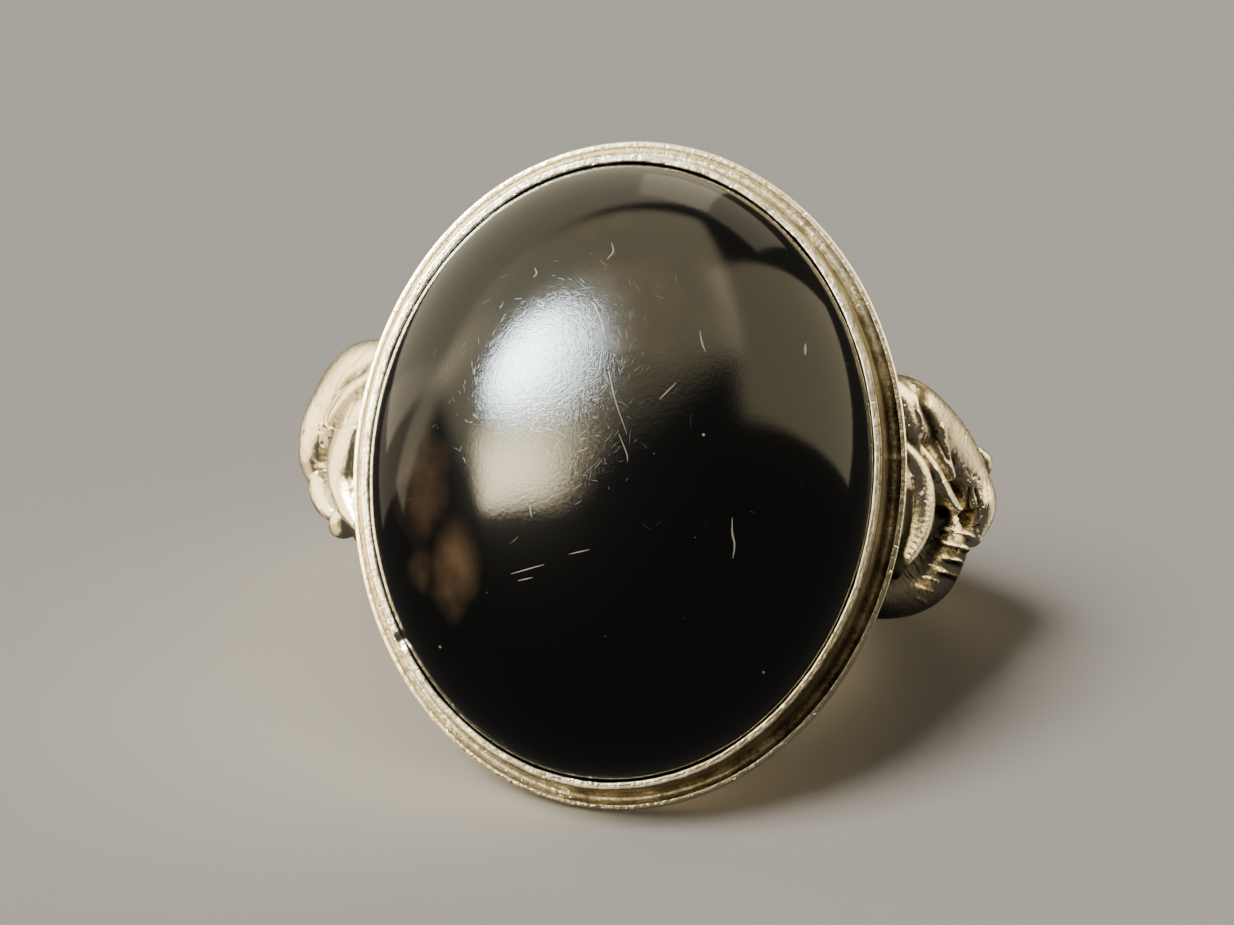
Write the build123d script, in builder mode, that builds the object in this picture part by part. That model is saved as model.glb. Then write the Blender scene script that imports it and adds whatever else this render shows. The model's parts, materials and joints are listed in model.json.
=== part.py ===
"""Signet-style finger ring with an oval onyx cabochon, lying on its side as it rests by itself."""

import os
from math import asin, atan2, cos, degrees, hypot, radians, sin, sqrt

from build123d import *

# The ring is modelled upright in its own axes: Y runs through the finger hole and Z points out of
# the stone's face. At the end both pieces are laid down on the bezel's rim and the shank's edge.
# All lengths are in millimetres.

# Finger hole and shank
bore_radius = 9.9
shank_thickness = 1.6
shank_half_width = 2.0
shank_flank = 0.6

# Shoulders, from the finger hole outward
shoulder_rise = 4.6
shoulder_half_width = 5.4
shoulder_flank = 2.6
head_wall = 1.2
lobe_root = 0.35
lobe_depth_share = 0.22

# Stone
stone_half_width = 9.0
stone_half_length = 11.0
girdle_height = 0.9
dome_height = 5.8
stone_edge_bevel = 0.2
seat_gap = 0.03

# Bezel: a plate with a rounded rim, and a thin wall burnished over the stone
plate_thickness = 0.7
rim_reach = 1.08
rim_round = 0.3
rim_edge_round = 0.1
rim_edge_width = 0.22
gutter_depth = 0.3
wall_foot = 0.45
cove_width = 0.24
lip_thickness = 0.28
lip_height = 2.3

plate_back = bore_radius + head_wall
plate_front = plate_back + plate_thickness
girdle_top = plate_front + seat_gap + girdle_height

# Core of each shoulder: angle round the finger from the side of the ring, then how far the
# rise, the half width and the flank have grown from the shank's size to the shoulder's. The
# first station lies just inside the shank and the last inside the head.
core_stations = [
    # angle, rise, width, flank
    (-74, -0.04, -0.03, -0.03),
    (-58, 0.01, 0.02, 0.02),
    (-42, 0.07, 0.09, 0.07),
    (-26, 0.16, 0.16, 0.16),
    (-10, 0.30, 0.26, 0.30),
    (5, 0.48, 0.38, 0.48),
    (20, 0.62, 0.50, 0.62),
    (35, 0.66, 0.60, 0.74),
    (48, 0.84, 0.70, 1.00),
    (57, 0.65, 0.73, 0.85),
    (66, 0.20, 0.62, 0.30),
]

# Head: a block between the shoulders that carries the bezel
head_half_length = 6.5
head_half_width = 4.3

# Raised leaves. Each row is one station along a leaf: the angle round the finger in degrees, then
# its place across the band and its full width as shares of shoulder_half_width, and the height of
# its crest above the finger hole as a share of shoulder_rise
right_leaves = {
    "curled leaf": [
        # angle, across, rise, width
        (50, 0.68, 0.90, 0.28),
        (40, 0.65, 0.87, 0.38),
        (30, 0.52, 0.86, 0.44),
        (22, 0.37, 0.90, 0.46),
        (17, 0.21, 0.96, 0.46),
        (14.5, 0.02, 1.03, 0.42),
        (15.5, -0.20, 0.94, 0.18),
    ],
    "veined leaf": [
        (50, 0.71, 0.86, 0.18),
        (45, 0.66, 0.92, 0.26),
        (42, 0.49, 0.93, 0.28),
        (41, 0.38, 0.87, 0.16),
    ],
    "beaded strap": [
        (46, 0.42, 0.86, 0.14),
        (39, 0.20, 0.90, 0.20),
        (37, -0.02, 0.92, 0.22),
        (38, -0.26, 0.90, 0.20),
        (42, -0.50, 0.85, 0.14),
    ],
    "hooked tendril": [
        (42, 0.42, 0.82, 0.13),
        (36, 0.25, 0.88, 0.16),
        (31, 0.07, 0.91, 0.14),
        (27, -0.03, 0.91, 0.12),
    ],
    "short ridge": [
        (35, 0.54, 0.82, 0.12),
        (32, 0.38, 0.86, 0.14),
        (28, 0.20, 0.86, 0.10),
    ],
    "lower leaf": [
        (24, -0.10, 0.82, 0.18),
        (23, -0.28, 0.89, 0.36),
        (26, -0.46, 0.88, 0.43),
        (34, -0.61, 0.86, 0.38),
        (44, -0.70, 0.86, 0.28),
        (53, -0.68, 0.86, 0.20),
    ],
    "side bud": [
        (13, 0.42, 0.88, 0.10),
        (10, 0.35, 0.95, 0.20),
        (7, 0.26, 0.88, 0.10),
    ],
}
left_leaves = {
    "curled leaf": [
        (50, 0.64, 0.88, 0.26),
        (40, 0.64, 0.88, 0.40),
        (31, 0.58, 0.92, 0.48),
        (24, 0.42, 0.98, 0.52),
        (20, 0.21, 1.05, 0.50),
        (18, -0.01, 1.04, 0.40),
        (17.5, -0.16, 0.95, 0.22),
    ],
    "middle ridge": [
        (47, 0.58, 0.90, 0.16),
        (38, 0.47, 0.92, 0.20),
        (31, 0.30, 0.95, 0.20),
        (26, 0.10, 0.93, 0.14),
    ],
    "inner leaf": [
        (46, 0.38, 0.88, 0.26),
        (39, 0.20, 0.94, 0.40),
        (34, -0.06, 0.94, 0.42),
        (35, -0.30, 0.89, 0.30),
        (39, -0.46, 0.82, 0.16),
    ],
    "almond": [
        (17, -0.08, 0.88, 0.14),
        (19.5, -0.20, 0.94, 0.26),
        (24, -0.34, 0.90, 0.24),
        (29, -0.44, 0.80, 0.12),
    ],
    "ball": [
        (33.5, -0.39, 0.76, 0.10),
        (32, -0.43, 0.82, 0.20),
        (30.5, -0.47, 0.83, 0.23),
        (29, -0.51, 0.81, 0.20),
        (27.5, -0.55, 0.75, 0.10),
    ],
}

# The leaves that run down to the shank are the same on both shoulders
tail_leaves = {
    "upper tail": [
        (14, 0.34, 0.82, 0.40),
        (3, 0.30, 0.76, 0.44),
        (-10, 0.18, 0.61, 0.34),
        (-25, 0.06, 0.44, 0.18),
    ],
    "lower tail": [
        (14, -0.32, 0.80, 0.40),
        (3, -0.30, 0.74, 0.44),
        (-10, -0.20, 0.60, 0.34),
        (-25, -0.07, 0.44, 0.18),
    ],
}

# Four short claws grip the edge of the right shoulder below the curled leaf
claw_count = 4
claw_angles = (25, 21, 17)
claw_angle_step = 2.5
claw_first_across = -0.19
claw_pitch = 0.095
claw_slant = 0.015
claw_rises = (0.83, 0.93, 0.87)
claw_width = 0.065


def grown(shank_size, shoulder_size, share):
    """A size part of the way from the shank's to the shoulder's."""
    return shank_size + (shoulder_size - shank_size) * share


def dome_inset(height):
    """How far the dome has drawn in from the girdle's side at a height above the girdle."""
    return stone_half_width * (1 - sqrt(1 - (height / dome_height) ** 2))


def on_band(angle, across, radius, side):
    """A point at an angle round the finger; side is 1 on the right shoulder and -1 on the left."""
    return Vector(side * radius * cos(radians(angle)), across, radius * sin(radians(angle)))


def core_section(angle, rise, half_width, flank):
    """Half-round profile of the band, standing on the finger hole's wall at one angle."""
    outward = on_band(angle, 0, 1, 1)
    plane = Plane(origin=(0, 0, 0), x_dir=(0, 1, 0), z_dir=outward.cross(Vector(0, 1, 0)))
    inner = bore_radius - shank_flank
    corner = bore_radius + flank
    crest = bore_radius + rise
    sign = 1 if plane.y_dir.dot(outward) > 0 else -1
    with BuildSketch(plane) as section:
        with BuildLine():
            Line((-half_width, sign * corner), (-half_width, sign * inner))
            Line((-half_width, sign * inner), (half_width, sign * inner))
            Line((half_width, sign * inner), (half_width, sign * corner))
            ThreePointArc((half_width, sign * corner), (0, sign * crest), (-half_width, sign * corner))
        make_face()
    return section.sketch


def leaf(stations, side):
    """One raised leaf, lofted through an ellipse at each station, square to its run."""
    points = []
    for angle, across, rise, width in stations:
        depth = lobe_root + lobe_depth_share * width * shoulder_half_width
        radius = bore_radius + rise * shoulder_rise - depth
        points.append(on_band(angle, across * shoulder_half_width, radius, side))
    sections = []
    for index, (angle, across, rise, width) in enumerate(stations):
        before = points[max(index - 1, 0)]
        after = points[min(index + 1, len(points) - 1)]
        run = (after - before).normalized()
        crosswise = run.cross(on_band(angle, 0, 1, side)).normalized()
        depth = lobe_root + lobe_depth_share * width * shoulder_half_width
        with BuildSketch(Plane(origin=points[index], x_dir=crosswise, z_dir=run)) as section:
            Ellipse(width * shoulder_half_width / 2, depth)
        sections.append(section.sketch)
    with BuildPart() as raised:
        loft(sections=sections)
    return raised.part


def claw(index):
    """One short claw, lying across the edge of the right shoulder."""
    across = claw_first_across - index * claw_pitch
    rows = []
    for step, (angle, rise) in enumerate(zip(claw_angles, claw_rises)):
        rows.append((angle + index * claw_angle_step, across - step * claw_slant, rise, claw_width))
    return leaf(rows, 1)


# Onyx cabochon: a straight girdle bevelled below, and a half-ellipsoid dome
with BuildPart() as dome:
    Sphere(1, arc_size1=0, align=(Align.CENTER, Align.CENTER, Align.MIN))
    scale(by=(stone_half_width, stone_half_length, dome_height))

with BuildPart() as onyx_cabochon:
    with BuildSketch(Plane.XY.offset(plate_front + seat_gap)):
        Ellipse(stone_half_width, stone_half_length)
    extrude(amount=girdle_height)
    chamfer(onyx_cabochon.edges().sort_by(Axis.Z)[0], stone_edge_bevel)
    add(dome.part.moved(Location((0, 0, girdle_top))))

# Core of the right shoulder, from inside the shank up into the head
core_sections = []
for angle, rise, width, flank in core_stations:
    core_sections.append(
        core_section(
            angle,
            grown(shank_thickness, shoulder_rise, rise),
            grown(shank_half_width, shoulder_half_width, width),
            grown(shank_flank, shoulder_flank, flank),
        )
    )

with BuildPart() as shoulder:
    loft(sections=core_sections)

# Silver mount: shank, shoulders, head, leaves and bezel, soldered and cast as one solid
with BuildPart() as silver_mount:
    add(shoulder.part)
    mirror(about=Plane.YZ)
    add(core_section(-90, shank_thickness, shank_half_width, shank_flank))
    revolve(axis=Axis.Y)
    with Locations((0, 0, bore_radius / 2)):
        Box(
            2 * head_half_length,
            2 * head_half_width,
            plate_back - bore_radius / 2,
            align=(Align.CENTER, Align.CENTER, Align.MIN),
        )
    for stations in right_leaves.values():
        add(leaf(stations, 1))
    for stations in left_leaves.values():
        add(leaf(stations, -1))
    for stations in tail_leaves.values():
        add(leaf(stations, 1))
        add(leaf(stations, -1))
    for index in range(claw_count):
        add(claw(index))
    Cylinder(bore_radius, 4 * shoulder_half_width, rotation=(90, 0, 0), mode=Mode.SUBTRACT)
    with BuildSketch(Plane.XY.offset(plate_back)):
        Ellipse(stone_half_width, stone_half_length)
    extrude(amount=plate_thickness)
    with BuildLine(Plane.XY.offset(plate_back)) as girdle_line:
        EllipticalCenterArc((0, 0), stone_half_width, stone_half_length, start_angle=0, arc_size=360)
    section_plane = Plane(origin=(stone_half_width, 0, plate_back), x_dir=(1, 0, 0), z_dir=(0, -1, 0))
    lip_top = plate_thickness + lip_height
    girdle_line_top = girdle_top - plate_back
    lip_lean = lip_top - girdle_line_top
    lip_inner = seat_gap - dome_inset(lip_lean)
    gutter_start = rim_reach - rim_edge_width
    with BuildSketch(section_plane) as bezel_section:
        with BuildLine():
            Line((-wall_foot, 0), (rim_reach - rim_round, 0))
            rim = RadiusArc((rim_reach - rim_round, 0), (rim_reach, rim_round), -rim_round)
            Line(rim @ 1, (rim_reach, plate_thickness - rim_edge_round))
            edge = RadiusArc(
                (rim_reach, plate_thickness - rim_edge_round),
                (rim_reach - rim_edge_round, plate_thickness),
                -rim_edge_round,
            )
            Line(edge @ 1, (gutter_start, plate_thickness))
            ThreePointArc(
                (gutter_start, plate_thickness),
                ((gutter_start + wall_foot) / 2, plate_thickness - gutter_depth),
                (wall_foot, plate_thickness - gutter_depth / 2),
            )
            ThreePointArc(
                (wall_foot, plate_thickness - gutter_depth / 2),
                (cove_width, plate_thickness + lip_height / 3),
                (lip_inner + lip_thickness, lip_top),
            )
            Line((lip_inner + lip_thickness, lip_top), (lip_inner, lip_top))
            ThreePointArc(
                (lip_inner, lip_top),
                (seat_gap - dome_inset(lip_lean / 2), girdle_line_top + lip_lean / 2),
                (seat_gap, girdle_line_top),
            )
            Line((seat_gap, girdle_line_top), (seat_gap, plate_thickness))
            Line((seat_gap, plate_thickness), (-wall_foot, plate_thickness))
            Line((-wall_foot, plate_thickness), (-wall_foot, 0))
        make_face()
    sweep(sections=bezel_section.sketch, path=girdle_line.wires()[0])

# Lie the ring down: the rounded rim and the edge of the shank's back touch one floor
rim_place = (-(stone_half_length + rim_reach - rim_round), plate_back + rim_round)
shank_place = (-shank_half_width, -(bore_radius + shank_flank))
drop = shank_place[0] - rim_place[0]
reach = rim_place[1] - shank_place[1]
lean = atan2(drop, reach) + asin(rim_round / hypot(drop, reach))
rest_height = -(shank_place[0] * cos(lean) + shank_place[1] * sin(lean))

# Along the floor the ring reaches from the dome's front to the crown of the shank's back. The
# crown is an arc, so its centre and radius give where it ends at this lean.
crown_height = shank_thickness - shank_flank
crown_radius = (shank_half_width**2 + crown_height**2) / (2 * crown_height)
crown_centre = bore_radius + shank_thickness - crown_radius
dome_reach = hypot(stone_half_length * sin(lean), dome_height * cos(lean))
front_end = -(girdle_top * cos(lean) + dome_reach)
back_end = crown_centre * cos(lean) + crown_radius
floor_place = (0, -(front_end + back_end) / 2, rest_height)
lying = Plane(origin=floor_place, x_dir=(1, 0, 0), z_dir=(0, -cos(lean), sin(lean)))

pieces = {"onyx_cabochon": onyx_cabochon.part, "silver_mount": silver_mount.part}
os.makedirs("parts", exist_ok=True)
for name, piece in pieces.items():
    placed = piece.moved(lying.location)
    placed.label = name
    export_step(placed, f"parts/{name}.step")

print("lean of the finger hole from upright, degrees:", round(degrees(lean), 2))
print("middle of the finger hole:", lying.origin)
print("face of the stone points along:", lying.z_dir)
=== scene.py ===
# Onyx ring: a high oval cabochon in a stepped silver bezel, with leaf work on both shoulders
import json

import bpy
import numpy as np
from mathutils import Matrix, Vector


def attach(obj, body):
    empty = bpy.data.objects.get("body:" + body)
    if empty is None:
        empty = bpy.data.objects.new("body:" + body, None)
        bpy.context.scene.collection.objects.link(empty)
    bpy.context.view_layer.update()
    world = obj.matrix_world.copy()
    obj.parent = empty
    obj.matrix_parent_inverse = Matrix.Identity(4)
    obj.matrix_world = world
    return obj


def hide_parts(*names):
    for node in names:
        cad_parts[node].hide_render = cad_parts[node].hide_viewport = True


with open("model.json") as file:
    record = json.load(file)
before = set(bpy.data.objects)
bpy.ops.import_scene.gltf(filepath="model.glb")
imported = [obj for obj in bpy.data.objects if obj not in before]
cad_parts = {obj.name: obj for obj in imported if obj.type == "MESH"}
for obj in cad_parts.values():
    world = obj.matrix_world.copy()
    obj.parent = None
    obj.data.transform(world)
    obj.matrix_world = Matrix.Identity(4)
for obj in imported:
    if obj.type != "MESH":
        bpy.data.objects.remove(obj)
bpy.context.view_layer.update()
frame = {"record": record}

mm = 0.001               # metres
fullTurn = 2 * np.pi

# The ring's own axes: across the stone, through the finger hole, and out of the stone's face.
# Shapes are worked out in these axes in millimetres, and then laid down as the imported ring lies.
holeMount = next(m for m in frame["record"]["mounts"] if m["name"] == "finger_hole")
holeMiddle = np.array(holeMount["pos_m"])
throughHole = np.array(holeMount["axis"]) / np.linalg.norm(holeMount["axis"])
acrossStone = np.array([1.0, 0.0, 0.0])
ringAxes = np.stack([acrossStone, throughHole, np.cross(acrossStone, throughHole)])


def toScene(points):
    # ring millimetres to metres on the floor: the hole's middle plus each axis times its share
    return holeMiddle + points @ ringAxes * mm


def smoothCurve(x, knots, values):
    # cubic through every knot, with the slope at a knot taken from its two neighbours
    knots = np.asarray(knots, float)
    values = np.asarray(values, float)
    slopes = np.gradient(values, knots, axis=0)
    k = np.clip(np.searchsorted(knots, x, side="right") - 1, 0, len(knots) - 2)
    width = knots[k + 1] - knots[k]
    s = np.clip((x - knots[k]) / width, 0, 1)
    if values.ndim > 1:
        s, width = s[:, None], width[:, None]
    rise = (1 + 2 * s) * (1 - s) ** 2 * values[k] + s * (1 - s) ** 2 * width * slopes[k]
    return rise + s**2 * (3 - 2 * s) * values[k + 1] + s**2 * (s - 1) * width * slopes[k + 1]


def softMax(a, b, blend):
    # the larger of the two, rounded where they are closer than the blend
    return np.maximum(a, b) + np.maximum(blend - np.abs(a - b), 0) ** 2 / (4 * blend)


def wander(turn, seed):
    # slow uneven wave round a full turn, from five sines with fixed phases; between -1 and 1
    waves = [3, 5, 8, 13, 21]
    largest = 3.2
    return sum(np.sin(w * turn + seed * (1.7 + 0.9 * w)) / (1 + 0.12 * w) for w in waves) / largest


def nearLine(flat, places):
    # distance in the plane of the stone from each point to a smooth line through a few places
    knots = np.arange(len(places))
    line = smoothCurve(np.linspace(0, knots[-1], 7 * knots[-1] + 1), knots, places)
    best = np.full(len(flat), 99.0)
    close = np.flatnonzero(((flat > line.min(0) - 1) & (flat < line.max(0) + 1)).all(1))
    for start, end in zip(line[:-1], line[1:]):
        run = end - start
        share = np.clip((flat[close] - start) @ run / (run @ run), 0, 1)
        far = np.linalg.norm(flat[close] - start - share[:, None] * run, axis=1)
        best[close] = np.minimum(best[close], far)
    return best


def evenOut(grid, axis, share):
    # draws the grid's points along one axis towards even steps on the surface, so that steep
    # flanks get as many as flat ones: the place of each is blended with its place by distance
    lines = np.moveaxis(grid, axis, 0)
    travel = np.cumsum(np.linalg.norm(np.diff(lines, axis=0), axis=-1), axis=0)
    travel = np.concatenate([np.zeros((1, travel.shape[1])), travel]) / travel[-1]
    places = np.linspace(0, 1, len(lines))
    drawn = np.empty_like(lines)
    for k in range(lines.shape[1]):
        goal = (1 - share) * places + share * np.interp(places, travel[:, k], places)
        for part in range(3):
            drawn[:, k, part] = np.interp(goal, places, lines[:, k, part])
    return np.moveaxis(drawn, 0, axis)


def gridNormals(grid):
    # outward normals of a grid round the band, from the cross product of its two directions
    normals = np.cross(np.gradient(grid, axis=0), np.gradient(grid, axis=1))
    normals /= np.linalg.norm(normals, axis=-1, keepdims=True) + 1e-12
    outward = (normals * grid * [1, 0, 1]).sum()
    return normals * np.sign(outward)


def addObject(name, data):
    # a mesh, a light or a camera put in the scene at the origin
    thing = bpy.data.objects.new(name, data)
    bpy.context.scene.collection.objects.link(thing)
    return thing


def closedGrid(name, grid, values):
    # grid rows run along the piece and its columns go round it; both ends get a flat cap
    rows, columns = grid.shape[:2]
    index = np.arange(rows * columns).reshape(rows, columns)
    beside = np.roll(index, -1, axis=1)
    quads = np.stack([index[:-1], index[1:], beside[1:], beside[:-1]], axis=-1).reshape(-1, 4)
    points = grid.reshape(-1, 3)
    a, b, c, d = (points[quads[:, k]] for k in range(4))
    volume = np.einsum("ij,ij->", a, np.cross(b, c)) + np.einsum("ij,ij->", a, np.cross(c, d))
    faces = quads.tolist() + [index[0].tolist(), index[-1][::-1].tolist()]
    if volume < 0:
        faces = [face[::-1] for face in faces]
    mesh = bpy.data.meshes.new(name)
    mesh.from_pydata(toScene(points), [], faces)
    smooth = np.ones(len(faces), bool)
    smooth[-2:] = False
    mesh.polygons.foreach_set("use_smooth", smooth)
    for label, value in values.items():
        layer = mesh.attributes.new(label, "FLOAT", "POINT")
        layer.data.foreach_set("value", value.reshape(-1).astype(np.float32))
    mesh.update()
    return addObject(name, mesh)


# Camera: the photograph's view of the ring, by the ring's own axes
cameraPlace = {
    "rimHeight": 11.45,       # millimetres from the hole's middle to the bezel's rim
    "distance": 63.93,        # millimetres from that rim, along the view
    "side": 0.272,
    "up": -0.377,
    "yaw": -5.5,
    "pitch": -2.8,
    "roll": -4.7,
    "lens": 51.64,
}


def addCamera():
    # the view turns the ring by yaw, then pitch, then roll, and stands off along its own axis
    roll, pitch, yaw = (
        Matrix.Rotation(np.radians(cameraPlace[name]), 3, axis)
        for name, axis in (("roll", "Z"), ("pitch", "X"), ("yaw", "Y"))
    )
    turn = np.array(roll @ pitch @ yaw)
    away = np.array([-cameraPlace["side"], -cameraPlace["up"], cameraPlace["distance"]])
    place = toScene(away @ turn + [0, 0, cameraPlace["rimHeight"]])
    facing = turn @ ringAxes
    camera = addObject("camera", bpy.data.cameras.new("camera"))
    camera.data.sensor_width = 36
    camera.data.lens = cameraPlace["lens"]
    camera.data.clip_start = 0.001
    camera.matrix_world = Matrix([[*facing[:, k], place[k]] for k in range(3)] + [[0, 0, 0, 1]])
    bpy.context.scene.camera = camera


addCamera()
print("camera set")


# Sizes are in millimetres, angles round the finger in degrees from the side of the ring
band = {
    "boreRadius": 9.9,
    "shankThickness": 1.6,
    "shankHalfWidth": 2.0,
    "shankFlank": 0.6,
    "shoulderRise": 4.6,
    "shoulderHalfWidth": 5.4,
    "shoulderFlank": 2.6,
    "headHalfLength": 6.5,
    "headHalfWidth": 4.3,
    "lobeRoot": 0.35,
    "lobeDepthShare": 0.22,
    "leafBlend": 0.10,        # how softly a leaf runs into its neighbour
    "leafBlendWidth": 0.30,   # leaves narrower than this share blend less
    "coreEnd": 66,            # angle past which only the head's block is left of the core
    "plateCover": 0.3,        # how far the leaves may rise into the plate
    "columns": 240,           # places across the outside, and across the bore
    "boreColumns": 12,
    "evenAcross": 0.7,        # how far those places, and the rows, are drawn to even steps
    "evenAlong": 0.5,
    "lineTilt": 0.08,         # lines fade in where the surface begins to face as the stone does
    "lineFade": 0.3,
    "recessReach": 46,        # smoothing passes that tell a recess from a crest
    "recessGain": 4.0,        # tarnish for each millimetre that a place lies below its surroundings
    "lineSpread": 1.2,        # the tarnish of a line is this much wider than its cut
    "boreTarnish": 0.15,      # fingers keep the bore bright
    "shadowStart": 0.8,          # where the painted shadow on the lower side, under the bezel, begins, and how it fades in
    "lowFade": 2.5,
    "ownAngles": [-85, -25, 55, 75],    # between the middle two each half has its own tarnish
    "endTuck": 0.004,         # share by which each half shrinks where it lies inside the other
}

# Core of each shoulder: angle round the finger from the side of the ring, then how far the
# rise, the half width and the flank have grown from the shank to the shoulder
shoulderCore = [
    (-74, -0.04, -0.03, -0.03),
    (-58, 0.01, 0.02, 0.02),
    (-42, 0.07, 0.09, 0.07),
    (-26, 0.16, 0.16, 0.16),
    (-10, 0.3, 0.26, 0.3),
    (5, 0.48, 0.38, 0.48),
    (20, 0.62, 0.5, 0.62),
    (35, 0.66, 0.6, 0.74),
    (48, 0.84, 0.7, 1.0),
    (57, 0.65, 0.73, 0.85),
    (66, 0.2, 0.62, 0.3),
]

# Leaves: angle, place across, crest height and width, as shares of the shoulder's sizes
rightLeaves = {
    "curledLeaf": [
        (50, 0.68, 0.9, 0.28), (40, 0.65, 0.87, 0.38), (30, 0.52, 0.86, 0.44),
        (22, 0.37, 0.9, 0.46), (17, 0.21, 0.96, 0.46), (14.5, 0.02, 1.03, 0.42),
        (15.5, -0.2, 0.94, 0.18),
    ],
    "veinedLeaf": [
        (50, 0.71, 0.86, 0.18), (45, 0.66, 0.92, 0.26), (42, 0.49, 0.93, 0.28),
        (41, 0.38, 0.87, 0.16),
    ],
    "beadedStrap": [
        (46, 0.42, 0.86, 0.14), (39, 0.2, 0.9, 0.2), (37, -0.02, 0.92, 0.22),
        (38, -0.26, 0.9, 0.2), (42, -0.5, 0.85, 0.14),
    ],
    "hookedTendril": [
        (42, 0.42, 0.82, 0.13), (36, 0.25, 0.88, 0.16), (31, 0.07, 0.91, 0.14),
        (27, -0.03, 0.91, 0.12),
    ],
    "shortRidge": [
        (35, 0.54, 0.82, 0.12), (32, 0.38, 0.86, 0.14), (28, 0.2, 0.86, 0.1),
    ],
    "lowerLeaf": [
        (24, -0.1, 0.82, 0.18), (23, -0.28, 0.89, 0.36), (26, -0.46, 0.88, 0.43),
        (34, -0.61, 0.86, 0.38), (44, -0.7, 0.86, 0.28), (53, -0.68, 0.86, 0.2),
    ],
    "sideBud": [
        (13, 0.42, 0.88, 0.1), (10, 0.35, 0.95, 0.2), (7, 0.26, 0.88, 0.1),
    ],
}
leftLeaves = {
    "curledLeaf": [
        (50, 0.64, 0.88, 0.26), (40, 0.64, 0.88, 0.4), (31, 0.58, 0.92, 0.48),
        (24, 0.42, 0.98, 0.52), (20, 0.21, 1.05, 0.5), (18, -0.01, 1.04, 0.4),
        (17.5, -0.16, 0.95, 0.22),
    ],
    "middleRidge": [
        (47, 0.58, 0.9, 0.16), (38, 0.47, 0.92, 0.2), (31, 0.3, 0.95, 0.2),
        (26, 0.1, 0.93, 0.14),
    ],
    "innerLeaf": [
        (46, 0.38, 0.88, 0.26), (39, 0.2, 0.94, 0.4), (34, -0.06, 0.94, 0.42),
        (35, -0.3, 0.89, 0.3), (39, -0.46, 0.82, 0.16),
    ],
    "almond": [
        (17, -0.08, 0.88, 0.14), (19.5, -0.2, 0.94, 0.26), (24, -0.34, 0.9, 0.24),
        (29, -0.44, 0.8, 0.12),
    ],
    "ball": [
        (33.5, -0.39, 0.76, 0.1), (32, -0.43, 0.82, 0.2), (30.5, -0.47, 0.83, 0.23),
        (29, -0.51, 0.81, 0.2), (27.5, -0.55, 0.75, 0.1),
    ],
}
tailLeaves = {
    "upperTail": [
        (14, 0.34, 0.82, 0.4), (3, 0.3, 0.76, 0.44), (-10, 0.18, 0.61, 0.34),
        (-25, 0.06, 0.44, 0.18),
    ],
    "lowerTail": [
        (14, -0.32, 0.8, 0.4), (3, -0.3, 0.74, 0.44), (-10, -0.2, 0.6, 0.34),
        (-25, -0.07, 0.44, 0.18),
    ],
}
for claw in range(4):
    rightLeaves[f"claw{claw}"] = [
        (25 + 2.5 * claw, -0.190 - 0.095 * claw, 0.83, 0.065),
        (21 + 2.5 * claw, -0.205 - 0.095 * claw, 0.93, 0.065),
        (17 + 2.5 * claw, -0.220 - 0.095 * claw, 0.87, 0.065),
    ]

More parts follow.
